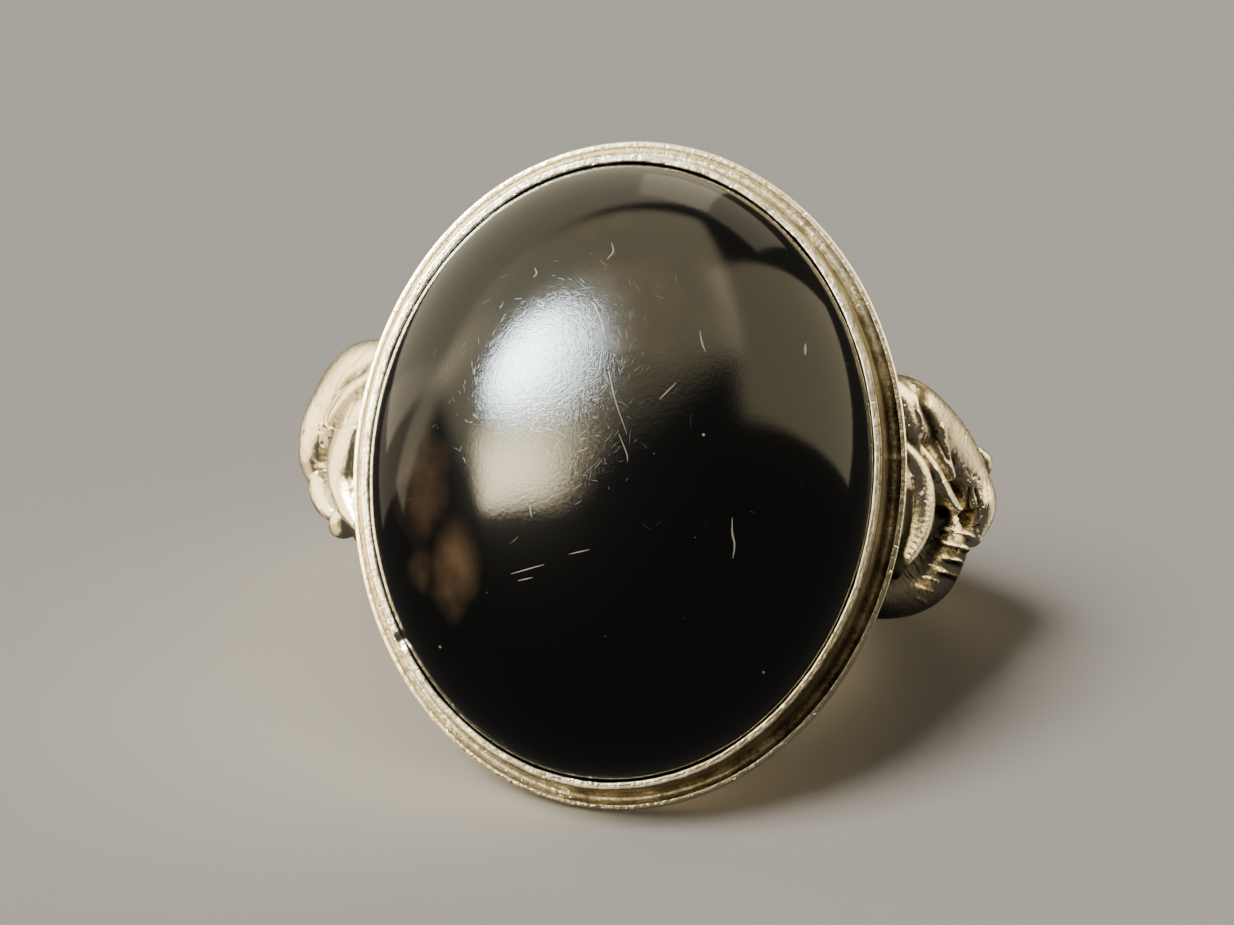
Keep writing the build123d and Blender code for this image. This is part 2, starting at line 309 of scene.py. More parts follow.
# Engraved and raised lines, as seen square to the stone: half width and depth in millimetres,
# how dark the line is, then its places. A negative depth is a raised thread.
rightLines = [
    # veins and the valley between the veined leaf and the curled leaf
    (0.07, -0.1, -0.4, [(10.19, 4.12), (10.27, 3.64), (10.41, 3.15), (10.58, 2.78), (10.6, 2.53)]),
    (0.2, 0.14, 0.3,
     [(10.45, 4.45), (10.71, 4.14), (10.7, 3.4), (10.95, 2.98), (11.42, 2.25), (11.87, 1.73)]),
    (0.08, -0.12, -0.5, [(11.45, 2.82), (11.65, 2.44), (11.81, 2.09), (11.98, 1.74)]),
    # small pits on the curled leaf
    (0.06, 0.03, 0.16, [(12.5, 1.3), (12.72, 1.4), (12.86, 1.3)]),
    (0.07, 0.05, 0.4, [(13.05, 1.2), (13.12, 1.25)]),
    (0.05, 0.05, 0.4, [(13.28, 1.12), (13.31, 1.1)]),
    # folds in the mouth of the curl
    (0.05, 0.07, 0.35, [(12.92, 0.74), (12.97, 0.2), (13.05, -0.4), (13.2, -0.94)]),
    (0.05, 0.07, 0.35, [(13.18, 0.7), (13.36, 0.25), (13.47, -0.3), (13.5, -0.84)]),
    (0.05, 0.06, 0.3, [(12.46, 0.6), (12.66, 0.48), (12.74, 0.1), (12.64, -0.25), (12.8, -0.8)]),
    (0.07, -0.1, -0.5, [(11.35, 1.16), (11.83, 0.4), (12.23, -0.08), (12.61, -0.15), (12.75, 0.2)]),
    # the dark valley beside the strap and two threads on the lower leaf
    (0.26, 0.12, 0.35, [(11.77, -0.41), (11.72, -1.02), (11.39, -1.82), (11.06, -2.61)]),
    (0.05, -0.08, -0.6, [(12.56, -0.43), (12.26, -0.97), (12.05, -1.5)]),
    (0.05, -0.07, -0.5, [(12.4, -0.56), (12.08, -1.22)]),
    # the rubbed edges of the four claws
    (0.04, -0.04, -0.25, [(11.25, -2.28), (11.99, -2.55)]),
    (0.04, -0.04, -0.25, [(11.05, -2.78), (11.8, -2.96)]),
    (0.04, -0.04, -0.25, [(10.9, -3.18), (11.6, -3.36)]),
    (0.04, -0.04, -0.25, [(10.9, -3.62), (11.4, -3.8)]),
    # the rubbed top of the strap, then a painted shadow over its lower end, and a painted shade
    # line in the gap between the strap and the bezel
    (0.34, 0.0, -0.9, [(10.6, 0.9), (10.88, -0.1), (10.84, -1.2), (10.5, -2.0)]),
    (0.16, 0.0, -0.5, [(10.66, -0.1), (10.68, -0.6), (10.66, -1.1)]),
    # painted shadow over the strap's lower end
    (0.5, 0.0, 0.6, [(10.1, -2.6), (9.7, -3.4), (9.4, -4.0)]),
    # painted shade in the gap between the strap and the bezel
    (0.14, 0.0, 0.9, [(10.36, 0.2), (10.4, -1.2), (10.1, -2.6)]),
    # rubbed bright along the outer edge
    (0.3, 0.0, -0.3, [(12.3, 2.6), (13.0, 1.6), (13.7, 0.3), (13.8, -0.6), (13.3, -1.2)]),
]
leftLines = [
    # the fold along the curled leaf, with the valley beside it
    (0.04, 0.05, 0.3, [(-10.66, 3.91), (-11.24, 3.38), (-11.76, 3.0), (-12.09, 2.12)]),
    (0.16, 0.1, 0.16,
     [(-10.11, 3.58), (-10.61, 3.15), (-11.31, 2.8), (-11.79, 2.19), (-12.31, 1.52),
      (-12.43, 0.89), (-12.67, 0.3)]),
    # fine cuts across the leaves
    (0.04, 0.06, 0.4, [(-10.63, 2.36), (-10.8, 2.03), (-10.92, 1.62), (-11.02, 1.13)]),
    (0.04, 0.06, 0.4, [(-12.19, 1.12), (-11.35, 1.04), (-10.57, 1.08)]),
    (0.045, 0.05, 0.35, [(-13.15, 1.99), (-12.66, 1.89)]),
    (0.045, 0.05, 0.35, [(-13.04, 0.99), (-12.58, 0.94)]),
    # the valley on the inner leaf, and the one under the curled leaf's tip
    (0.14, 0.08, 0.12,
     [(-10.25, 2.61), (-10.28, 1.91), (-10.33, 1.3), (-10.57, 0.55), (-10.66, -0.2),
      (-10.73, -0.87)]),
    (0.1, 0.08, 0.25,
     [(-13.14, -0.27), (-12.81, -0.64), (-12.1, -1.23), (-11.6, -1.76), (-11.3, -2.21)]),
]
# Beads along the strap: two rows of raised dots, one row half a step behind the other
strapBeads = {
    "line": [(10.5, 0.8), (10.82, -0.2), (10.74, -1.2), (10.3, -2.2)],
    "count": 30,
    "apart": 0.13,
    "length": 0.02,
    "halfWidth": 0.085,
    "height": 0.035,
    "shine": -0.1,
}
beadLine = smoothCurve(np.linspace(0, 3, strapBeads["count"]), np.arange(4), strapBeads["line"])
for bead, (beadX, beadY) in enumerate(beadLine):
    beadX = beadX + strapBeads["apart"] * (bead % 2 - 0.5) * 2
    dot = [(beadX, beadY), (beadX + strapBeads["length"], beadY)]
    rightLines.append((strapBeads["halfWidth"], -strapBeads["height"], strapBeads["shine"], dot))

# A leaf's line is followed in close steps, and its skin is looked for along each ray
leafSearch = {
    "stepsPerRow": 16,
    "margin": 0.16,           # radians past the leaf's ends
    "reaches": np.linspace(0.4, 7.2, 35),
    "halvings": 7,
}


def leafPath(rows, side):
    # middle line of a leaf with its three directions, half width and depth at close places
    stations = np.array(rows, float)
    last = len(stations) - 1
    place = np.linspace(0, last, leafSearch["stepsPerRow"] * last + 1)
    angle, across, rise, width = smoothCurve(place, np.arange(last + 1), stations).T
    angle = np.radians(angle)
    halfWidth = width * band["shoulderHalfWidth"] / 2
    depth = band["lobeRoot"] + 2 * band["lobeDepthShare"] * halfWidth
    radius = band["boreRadius"] + rise * band["shoulderRise"] - depth
    crossPlace = across * band["shoulderHalfWidth"]
    middle = np.stack([side * radius * np.cos(angle), crossPlace, radius * np.sin(angle)], 1)
    run = np.gradient(middle, axis=0)
    run /= np.linalg.norm(run, axis=1)[:, None]
    radial = np.stack([side * np.cos(angle), 0 * angle, np.sin(angle)], 1)
    crosswise = np.cross(run, radial)
    crosswise /= np.linalg.norm(crosswise, axis=1)[:, None]
    outward = np.cross(crosswise, run)
    sizes = np.stack([halfWidth, depth], 1)
    return {"middle": middle, "all": np.hstack([middle, run, crosswise, outward, sizes])}


def leafField(points, path):
    # below 1 inside the leaf: the ellipse of its width and depth at the nearest place on its line
    middle = path["middle"]
    far = (middle**2).sum(1) - 2 * points @ middle.T
    nearest = np.argmin(far, axis=1)
    step = np.linalg.norm(np.gradient(middle, axis=0), axis=1)[nearest]
    table = path["all"]
    slide = ((points - table[nearest, :3]) * table[nearest, 3:6]).sum(1) / step
    place = np.clip(nearest + slide, 0, len(middle) - 1.001)
    low = place.astype(int)
    share = (place - low)[:, None]
    here = table[low] * (1 - share) + table[low + 1] * share
    gap = points - here[:, :3]
    along = (gap * here[:, 3:6]).sum(1) / here[:, 12]
    cross = (gap * here[:, 6:9]).sum(1) / here[:, 12]
    out = (gap * here[:, 9:12]).sum(1) / here[:, 13]
    return np.sqrt(along**2 + cross**2 + out**2)


def fanPoints(angle, tilt, reach, side):
    # a ray starts on the finger hole's wall at an angle, and tilts across the band
    radius = band["boreRadius"] + reach * np.cos(tilt)
    return np.stack(
        [side * radius * np.cos(angle), reach * np.sin(tilt), radius * np.sin(angle)], -1
    )


def leafReach(angle, tilt, rows, side):
    # how far along each ray the leaf's outer skin is, by halving between the last two steps
    path = leafPath(rows, side)
    turns = np.radians([row[0] for row in rows])
    reach = np.full(angle.shape, -9.0)    # below every other shape, where no leaf is
    low, high = turns.min() - leafSearch["margin"], turns.max() + leafSearch["margin"]
    close = np.flatnonzero((angle > low) & (angle < high))
    steps = leafSearch["reaches"]
    last = np.full(len(close), -1)
    for k, step in enumerate(steps):
        inside = leafField(fanPoints(angle[close], tilt[close], step, side), path) < 1
        last[inside] = k
    hit = (last >= 0) & (last < len(steps) - 1)
    close, last = close[hit], last[hit]
    low, high = steps[last], steps[last + 1]
    for _ in range(leafSearch["halvings"]):
        half = (low + high) / 2
        inside = leafField(fanPoints(angle[close], tilt[close], half, side), path) < 1
        low, high = np.where(inside, half, low), np.where(inside, high, half)
    reach[close] = (low + high) / 2
    return reach


def profileReach(tilt, rise, halfWidth, flank):
    # half-round profile seen from the middle of its foot: flat flanks below, one arc on top
    crown = rise - flank
    radius = (halfWidth**2 + crown**2) / (2 * crown)
    centre = rise - radius
    cosTilt, sinTilt = np.cos(tilt), np.abs(np.sin(tilt)) + 1e-9
    arc = centre * cosTilt + np.sqrt(np.maximum(radius**2 - (centre * sinTilt) ** 2, 0))
    return np.minimum(halfWidth / sinTilt, arc)


def bandHalf(side, leaves, lines, tarnish):
    # one half of the band, from the back of the shank round to the middle of the head, with its
    # rows closest where the leaves are; its end rows lie just inside the other half, so no line
    # shows between them
    coarse = np.concatenate([np.arange(-92, -26, 2.0), np.arange(-26, 2, 0.9)])
    close = np.arange(2, 50.5, 0.2)
    angles = np.radians(np.concatenate([coarse, close, np.arange(50.6, 90, 2.5), [90.0, 92.0]]))
    tilts = np.radians(np.linspace(-90, 90, band["columns"]))
    angle, tilt = (flat.reshape(-1) for flat in np.meshgrid(angles, tilts, indexing="ij"))
    rise, width, flank = smoothCurve(
        np.degrees(angle), [row[0] for row in shoulderCore], [row[1:] for row in shoulderCore]
    ).T
    thick, half, low = band["shankThickness"], band["shankHalfWidth"], band["shankFlank"]
    core = profileReach(
        tilt,
        thick + (band["shoulderRise"] - thick) * rise,
        half + (band["shoulderHalfWidth"] - half) * width,
        low + (band["shoulderFlank"] - low) * flank,
    )
    core[np.degrees(angle) > band["coreEnd"]] = 0
    core = np.maximum(core, profileReach(tilt, thick, half, low))
    # the head's block, cut by its own three faces
    cosTilt = np.maximum(np.cos(tilt), 1e-6)
    headEnd = band["headHalfLength"] / np.maximum(np.cos(angle), 1e-6) - band["boreRadius"]
    headTop = bezel["plateBack"] / np.maximum(np.sin(angle), 1e-6) - band["boreRadius"]
    head = np.minimum(headEnd, np.where(angle > 0, headTop, -1)) / cosTilt
    head = np.minimum(head, band["headHalfWidth"] / (np.abs(np.sin(tilt)) + 1e-9))
    reach = np.maximum(core, head)
    for rows in leaves.values():
        widest = max(row[3] for row in rows)
        blend = band["leafBlend"] * min(1, widest / band["leafBlendWidth"])
        reach = softMax(reach, leafReach(angle, tilt, rows, side), blend)
    # nothing rises past the plate that the shoulders are soldered under
    highest = bezel["plateBack"] + band["plateCover"]
    plateCut = highest / np.maximum(np.sin(angle), 0.3) - band["boreRadius"]
    reach = np.minimum(reach, np.maximum(plateCut, 0.5) / cosTilt)

    shape = (len(angles), len(tilts))
    outer = fanPoints(angle, tilt, reach, side).reshape(*shape, 3)
    outer = evenOut(outer, 1, band["evenAcross"])
    fine = slice(len(coarse), len(coarse) + len(close))
    outer[fine] = evenOut(outer[fine], 0, band["evenAlong"])

    # lines cut into the leaves, or raised on them, where the surface faces as the stone does
    normals = gridNormals(outer)
    facing = np.clip((normals[..., 2] - band["lineTilt"]) / band["lineFade"], 0, 1).reshape(-1)
    flat = outer[..., :2].reshape(-1, 2)
    cut, dark = np.zeros(len(flat)), np.zeros(len(flat))
    for halfWide, depth, shade, line in lines:
        near = nearLine(flat, line)
        cut += depth * facing * np.exp(-((near / halfWide) ** 2))
        fade = np.exp(-((near / (band["lineSpread"] * halfWide)) ** 2))
        dark += shade * np.minimum(1, 3 * facing) * fade
    outer = outer - normals * cut.reshape(shape)[..., None]

    # a recess lies below the smoothed surface round it, and a crest above
    smooth = outer
    for _ in range(band["recessReach"]):
        smooth = np.pad(smooth, ((1, 1), (1, 1), (0, 0)), mode="edge")
        smooth = (smooth[:-2, 1:-1] + smooth[2:, 1:-1] + smooth[1:-1, :-2] + smooth[1:-1, 2:]) / 4
    below = ((smooth - outer) * gridNormals(outer)).sum(-1)
    # painted shade: tarnish["low"] lays a painted shadow on the side that faces down, under the
    # bezel, and tarnish["all"] darkens the whole shoulder, on the right partly as painted shade;
    # the recess term is tarnish in hollows
    shadowUnderBezel = np.clip(-(outer[..., 1] + band["shadowStart"]) / band["lowFade"], 0, 1)
    # both halves have the same tarnish where they meet, at the back of the shank and in the head
    own = np.interp(np.degrees(angles), band["ownAngles"], [0, 1, 1, 0])[:, None]
    mine = tarnish["all"] + tarnish["low"] * shadowUnderBezel + band["recessGain"] * below
    mine = mine + dark.reshape(shape)
    recess = tarnish["seam"] + own * (mine - tarnish["seam"])

    # the flat wall of the finger hole, from one edge to the other
    share = np.linspace(0, 1, band["boreColumns"])[1:-1, None]
    bore = outer[:, -1:, :] * (1 - share) + outer[:, :1, :] * share
    grid = np.concatenate([outer, bore], axis=1)
    for end in (0, -1):
        grid[end] += band["endTuck"] * (grid[end].mean(axis=0) - grid[end])
    boreRecess = np.full((len(angles), len(share)), band["boreTarnish"])
    recess = np.concatenate([recess, boreRecess], axis=1)
    name = "rightShoulder" if side > 0 else "leftShoulder"
    piece = closedGrid(name, grid, {"recess": np.clip(recess, 0, 1)})
    print(name, "made with", len(piece.data.polygons), "faces")
    return piece


def arcThrough(start, middle, end, count):
    # points along the circle through three places, from the first to the last; the middle of the
    # circle is where the lines halfway between each two places cross
    (ax, ay), (bx, by), (cx, cy) = start, middle, end
    d = 2 * (ax * (by - cy) + bx * (cy - ay) + cx * (ay - by))
    sa, sb, sc = ax * ax + ay * ay, bx * bx + by * by, cx * cx + cy * cy
    ux = (sa * (by - cy) + sb * (cy - ay) + sc * (ay - by)) / d
    uy = (sa * (cx - bx) + sb * (ax - cx) + sc * (bx - ax)) / d
    first, mid, final = (np.arctan2(y - uy, x - ux) for x, y in (start, middle, end))
    mid, final = (first + (a - first) % fullTurn for a in (mid, final))
    if mid > final:
        final -= fullTurn
    turn = np.linspace(first, final, count)
    radius = np.hypot(ax - ux, ay - uy)
    return np.stack([ux + radius * np.cos(turn), uy + radius * np.sin(turn)], 1)


def domeInset(height):
    # how far the dome has drawn in at a height above its girdle
    return stone["halfWidth"] * (1 - np.sqrt(1 - (height / stone["domeHeight"]) ** 2))


# The stepped bezel, in millimetres; it follows the stone's oval
bezel = {
    "plateBack": 11.1,
    "plateThickness": 0.7,
    "rimReach": 1.08,
    "rimRound": 0.3,
    "edgeRound": 0.1,
    "edgeWidth": 0.22,
    "gutterDepth": 0.3,
    "wallFoot": 0.45,
    "coveWidth": 0.24,
    "lipThickness": 0.28,
    "lipHeight": 2.3,
    "seatGap": 0.03,
    "handWobble": 0.03,       # how far the burnished lip wanders
    "leftPull": 0.17,         # the rim is filed closer to the lip on the left
    # places round the stone: degrees from the right side, and spread in radians
    "leftPlace": (186, 0.75),
    "nickPlace": (217, 0.018),
    "seamPlace": (6.5, 0.006),
    "nickDepth": 0.16,
    "seamHeight": 0.02,
    "columns": 840,
}

# How dark the bezel is, as tarnish and painted shade: the shares add to each other, and 1 is solid
# tarnish
bezelTarnishAndShade = {
    "shadeTurn": 0.45,         # radians below the right side where the painted shade is deepest
    "mean": 0.58,
    "swing": 0.48,
    "patches": 0.12,
    "leftLip": 0.11,
    "footLine": 0.34,
    "footSpread": 0.05,       # millimetres
    "nick": 0.8,
    "seam": -0.15,
    "back": 0.3,
    # share of the way up the wall's hollow side, and how dark it is there
    "cove": [(0, 0.58), (0.15, 0.52), (0.55, 0.54), (0.75, 0.80), (0.97, 0.80), (1, 0.4)],
}


def nearPlace(turn, place):
    # 1 at an angle round the stone, fading on both sides of it as a bell curve
    angle, spread = place
    return np.exp(-(((turn - np.radians(angle)) / spread) ** 2))


def steppedBezel():
    # one profile of plate, rounded rim, gutter and lip, carried round the stone's oval
    b, shades = bezel, bezelTarnishAndShade
    thick, reach, foot, gap = b["plateThickness"], b["rimReach"], b["wallFoot"], b["seatGap"]
    lipTop = thick + b["lipHeight"]
    girdleTop = stone["girdleTop"] - b["plateBack"]
    lipIn = gap - domeInset(lipTop - girdleTop)
    halfway = girdleTop + (lipTop - girdleTop) / 2
    wallIn = gap - domeInset(halfway - girdleTop)
    lipOut = lipIn + b["lipThickness"]
    edge, circle = b["edgeRound"], b["rimRound"]
    edgeCut, circleCut = 0.29 * edge, 0.29 * circle    # the middle of a quarter circle
    gutter, gutterStart = b["gutterDepth"], reach - b["edgeWidth"]
    runs = [
        # places out from the stone's side and up from the plate's back, with an arc through three
        # of them or a straight line between two, then how many points and how dark they are
        ([(reach - circle, 0), (reach - circleCut, circleCut), (reach, circle)], 10, 0.2),
        ([(reach, thick - edge), (reach - edgeCut, thick - edgeCut), (reach - edge, thick)],
         7, -0.3),
        ([(reach - 1.6 * edge, thick), (gutterStart + 0.02, thick)], 4, 0.05),
        ([(gutterStart, thick - 0.01), ((gutterStart + foot) / 2, thick - gutter),
          (foot, thick - gutter / 2)], 16, 0.46),
        ([(foot - 0.01, thick - 0.4 * gutter), (b["coveWidth"], thick + b["lipHeight"] / 3),
          (lipOut, lipTop - 0.06)], 22, 0.45),
        ([(lipOut - 0.01, lipTop - 0.03), (lipOut - 0.03, lipTop - 0.01),
          (lipOut - 0.06, lipTop)], 4, 0.46),
        ([(lipOut - 0.08, lipTop), (lipOut - 0.11, lipTop)], 2, 0.40),
        ([(lipOut - 0.14, lipTop), (lipIn + 0.05, lipTop)], 3, -0.05),
        ([(lipIn + 0.03, lipTop - 0.005), (lipIn + 0.01, lipTop - 0.02),
          (lipIn, lipTop - 0.05)], 4, 0.1),
        # painted shade: the lip's inner face and the seat wall below it, in the narrow gap against
        # the stone, are painted as dark as they go
        ([(lipIn, lipTop - 0.08), (wallIn, halfway), (gap, girdleTop)], 10, 1.3),
        ([(gap, girdleTop - 0.1), (gap, thick + 0.02)], 5, 1.3),
    ]
    profile = np.concatenate([
        arcThrough(*places, count) if len(places) == 3 else np.linspace(*places, count)
        for places, count, _ in runs
    ])
    shade = np.concatenate([np.full(count, value) for _, count, value in runs])
    # the cove is the fifth run, and its dark changes on the way up
    coveStart, coveCount = sum(run[1] for run in runs[:4]), runs[4][1]
    coveShade = np.interp(np.linspace(0, 1, coveCount), *np.transpose(shades["cove"]))
    shade[coveStart:coveStart + coveCount] = coveShade

    turn = np.linspace(0, fullTurn, b["columns"], endpoint=False)
    wide, long = stone["halfWidth"], stone["halfLength"]
    oval = np.stack([wide * np.cos(turn), long * np.sin(turn)], 1)
    normal = np.stack([long * np.cos(turn), wide * np.sin(turn)], 1)
    normal /= np.linalg.norm(normal, axis=1)[:, None]

    out, up = (np.repeat(profile[:, k][:, None], len(turn), axis=1) for k in range(2))
    dark = np.repeat(shade[:, None], len(turn), axis=1)
    # the rim is filed closer on the left, and the hand-pushed lip wanders a little
    rimPart = np.clip((out - foot) / (reach - foot), 0, 1) * (up < thick + 0.01)
    filed = b["leftPull"] * nearPlace(turn, b["leftPlace"])
    out = out - rimPart * (filed + b["handWobble"] * 0.5 * (1 + wander(turn, 2.0)))
    lipPart = np.clip((up - thick) / b["lipHeight"], 0, 1) ** 2
    out = out + lipPart * b["handWobble"] * wander(turn * 2, 5.0)
    up = up - lipPart * b["handWobble"] * (1 + wander(turn * 2, 9.0))
    # a nick in the lip at the lower left, and the solder seam across the gutter on the right
    nick = nearPlace(turn, b["nickPlace"]) * lipPart
    up = up - b["nickDepth"] * nick
    seam = nearPlace(turn, b["seamPlace"]) * (up < thick + 1.4) * (up > 0.02)
    up = up + b["seamHeight"] * seam
    dark = dark + shades["nick"] * nick + shades["seam"] * seam
    # painted shade: the dark is scaled up on the right and below, where the bezel lies in shade,
    # and down on the lit left; the tarnish also lies in patches, and a little more dark is added on
    # the lip at the left and top
    towardShade = np.cos(turn + shades["shadeTurn"])
    patchy = shades["patches"] * wander(turn * 3, 3.0) * (dark > 0.2)
    dark = (dark + patchy) * (shades["mean"] + shades["swing"] * towardShade)
    dark = dark + shades["leftLip"] * lipPart * (1 - towardShade)
    # there only a thin dark line is left at the foot of the wall
    footLine = np.exp(-(((out - foot) / shades["footSpread"]) ** 2))
    footLine = footLine * (up < thick + 0.2) * (up > 0.1)
    dark = dark + shades["footLine"] * footLine * np.clip(-np.cos(turn + 0.3), 0, 1)

    ring = np.stack(
        [oval[:, 0] + out * normal[:, 0], oval[:, 1] + out * normal[:, 1], b["plateBack"] + up], -1
    )
    # the plate's two flat faces close the profile under the stone
    shares = np.array([0.02, 0.25, 0.5, 0.75, 0.93])
    flat = oval[None] * shares[:, None, None]
    level = np.ones((*flat.shape[:2], 1))
    back = np.concatenate([flat, b["plateBack"] * level], axis=2)
    front = np.concatenate([flat[::-1], (b["plateBack"] + thick) * level], axis=2)
    grid = np.concatenate([back, ring, front])
    plain = np.full((len(shares), len(turn)), shades["back"])
    recess = np.concatenate([plain, dark, plain])
    piece = closedGrid("steppedBezel", grid, {"recess": np.clip(recess, 0, 1)})
    print("bezel made with", len(piece.data.polygons), "faces")
    return piece


# The stone, in millimetres
stone = {
    "halfWidth": 9.0,
    "halfLength": 11.0,
    "girdleBottom": 11.83,
    "girdleTop": 12.73,
    "domeHeight": 5.8,
    "bevel": 0.2,
    # brown patches: place as seen square to the stone, spread in millimetres, strength
    "thinDye": [
        ((-4.9, -3.8), (0.8, 1.5), 1.0),
        ((-6.2, -1.3), (1.2, 2.1), 0.55),
        ((-6.1, -3.9), (0.6, 0.9), 0.6),
        ((0.0, 5.5), (4.5, 4.5), 0.30),
    ],
    "wornPlace": (-0.9, 2.8),
    "wornSpread": 4.2,
    "columns": 300,
}

stoneMarks = [
    # half width in millimetres, then places as seen square to the stone; these are the deep ones
    (0.03, [(4.18, -1.45), (4.22, -1.95), (4.32, -2.3), (4.3, -2.75)]),
    (0.045, [(6.1, 4.55), (6.12, 4.15)]),
    (0.018, [(-0.95, -3.05), (-0.3, -2.85)]),
    (0.018, [(-2.85, -3.85), (-1.75, -3.45)]),
    (0.018, [(-2.6, -4.05), (-2.1, -3.9)]),
    (0.05, [(-5.38, -6.55), (-5.3, -6.52)]),
    (0.05, [(3.02, 1.15), (3.1, 1.12)]),
    (0.045, [(5.52, -6.45), (5.6, -6.42)]),
    (0.012, [(-0.15, 2.95), (0.15, 2.0), (0.62, 0.95)]),
    (0.018, [(1.55, 2.15), (2.05, 2.75)]),
    (0.022, [(2.65, 4.55), (2.75, 4.15), (2.9, 3.85)]),
    (0.022, [(-0.55, 7.35), (-0.45, 7.05), (-0.62, 6.75)]),
    (0.02, [(-3.05, 6.35), (-2.95, 6.15), (-3.05, 6.0)]),
    (0.012, [(-0.85, 5.15), (-0.55, 4.55), (-0.35, 3.95)]),
    (0.012, [(0.35, 0.95), (0.65, 0.35), (0.72, 0.05)]),
]
stoneWear = {
    # only scratches that lie round the highlight catch it; the others stay dark
    "highlight": (-2.4, 3.1),
    "seed": 7,
    # how many, the middle and spread of their places, half lengths, half width, stray in radians
    "groups": [
        (190, (-1.4, 4.0), (1.5, 1.3), (0.04, 0.22), 0.009, 0.4),
        (70, (-3.9, 2.0), (0.8, 1.1), (0.04, 0.14), 0.009, 0.4),
        (60, (-0.6, 0.6), (1.0, 0.9), (0.04, 0.20), 0.009, 0.6),
        (26, (0.5, 1.5), (3.2, 3.8), (0.05, 0.35), 0.008, 3.0),
        (22, (0.0, -1.0), (4.4, 5.0), (0.01, 0.03), 0.020, 3.0),
    ],
    "lift": 0.002,
    "places": 9,              # along each mark
    "girdleShare": 0.9,       # marks end before they reach the girdle
}


def wornHairlines():
    # short scratches of wear at random places, from a fixed seed; each lies across the line to
    # the highlight, give or take its stray
    random = np.random.default_rng(stoneWear["seed"])
    marks = []
    for count, middle, spread, halfLengths, halfWidth, stray in stoneWear["groups"]:
        places = random.normal(middle, spread, (count, 2))
        away = places - stoneWear["highlight"]
        turns = np.arctan2(away[:, 1], away[:, 0]) + np.pi / 2 + random.normal(0, stray, count)
        halves = random.uniform(*halfLengths, count)
        bends = random.uniform(-0.2, 0.2, count)
        for place, turn, half, bend in zip(places, turns, halves, bends):
            run = half * np.array([np.cos(turn), np.sin(turn)])
            across = bend * half * np.array([-np.sin(turn), np.cos(turn)])
            marks.append((halfWidth, [place - run, place + across, place + run]))
    return marks


def domeHeight(flat):
    # height of the dome over a place, from the ellipsoid's equation
    inside = 1 - (flat[:, 0] / stone["halfWidth"]) ** 2 - (flat[:, 1] / stone["halfLength"]) ** 2
    return stone["girdleTop"] + stone["domeHeight"] * np.sqrt(np.maximum(inside, 0))


def stoneScratches():
    # every mark is a thin strip that follows the dome, pointed at both ends, in one joined mesh
    count = stoneWear["places"]
    girdle = [stone["halfWidth"], stone["halfLength"]]
    taper = np.sin(np.linspace(0.3, np.pi - 0.3, count))[:, None]
    points, faces, depths = [], [], []
    for number, (halfWidth, places) in enumerate(stoneMarks + wornHairlines()):
        line = smoothCurve(np.linspace(0, len(places) - 1, count), np.arange(len(places)), places)
        if ((line / girdle) ** 2).sum(1).max() > stoneWear["girdleShare"]:
            continue
        run = np.gradient(line, axis=0)
        side = np.stack([-run[:, 1], run[:, 0]], 1) / np.linalg.norm(run, axis=1)[:, None]
        wide = halfWidth * taper
        first = len(depths)
        # hairlines are of three depths, and all of them shallower than the marks
        depth = 1.0 if number < len(stoneMarks) else 0.15 + 0.3 * (number % 3)
        depths += [depth] * 2 * count
        for edge in (line + side * wide, line - side * wide):
            points.append(np.column_stack([edge, domeHeight(edge) + stoneWear["lift"]]))
        for k in range(first, first + count - 1):
            faces.append((k + count, k + count + 1, k + 1, k))
    mesh = bpy.data.meshes.new("stoneScratches")
    mesh.from_pydata(toScene(np.concatenate(points)), [], faces)
    layer = mesh.attributes.new("depth", "FLOAT", "POINT")
    layer.data.foreach_set("value", np.array(depths, np.float32))
    mesh.update()
    print("scratches made with", len(faces), "faces")
    return addObject("stoneScratches", mesh)


def onyxStone():
    # half an ellipsoid on a straight girdle, by rows from the bevelled foot up to the crown
    s = stone
    turn = np.linspace(0, fullTurn, s["columns"], endpoint=False)
    lift = np.radians(np.concatenate([np.linspace(0, 88, 130), [89.0, 89.6, 89.9]]))
    scale = np.concatenate([[0.02, 0.5, 0.9, 1 - s["bevel"] / s["halfWidth"], 1.0], np.cos(lift)])
    low = s["girdleBottom"]
    height = np.concatenate([
        [low, low, low, low, low + s["bevel"]], s["girdleTop"] + s["domeHeight"] * np.sin(lift)
    ])
    grid = np.stack([
        scale[:, None] * s["halfWidth"] * np.cos(turn),
        scale[:, None] * s["halfLength"] * np.sin(turn),
        np.repeat(height[:, None], len(turn), axis=1),
    ], -1)
    flat = grid.reshape(-1, 3)
    # the dye is thin in a few soft patches: each fades with the distance from its middle
    thin = np.zeros(len(flat))
    for place, spread, strength in s["thinDye"]:
        far = np.linalg.norm((flat[:, :2] - place) / spread, axis=1)
        thin = np.maximum(thin, strength * np.exp(-(far**2)))
    fromWorn = np.linalg.norm(flat[:, :2] - s["wornPlace"], axis=1)
    worn = np.exp(-((fromWorn / s["wornSpread"]) ** 2))
    piece = closedGrid("onyxStone", grid, {"thinDye": thin, "worn": worn})
    print("stone made with", len(piece.data.polygons), "faces")
    return piece


# Materials
def linear(code):
    # an sRGB hex colour as the linear values that the shader takes
    parts = np.array([int(code[k:k + 2], 16) / 255 for k in (1, 3, 5)])
    parts = np.where(parts <= 0.04045, parts / 12.92, ((parts + 0.055) / 1.055) ** 2.4)
    return (*parts.tolist(), 1.0)


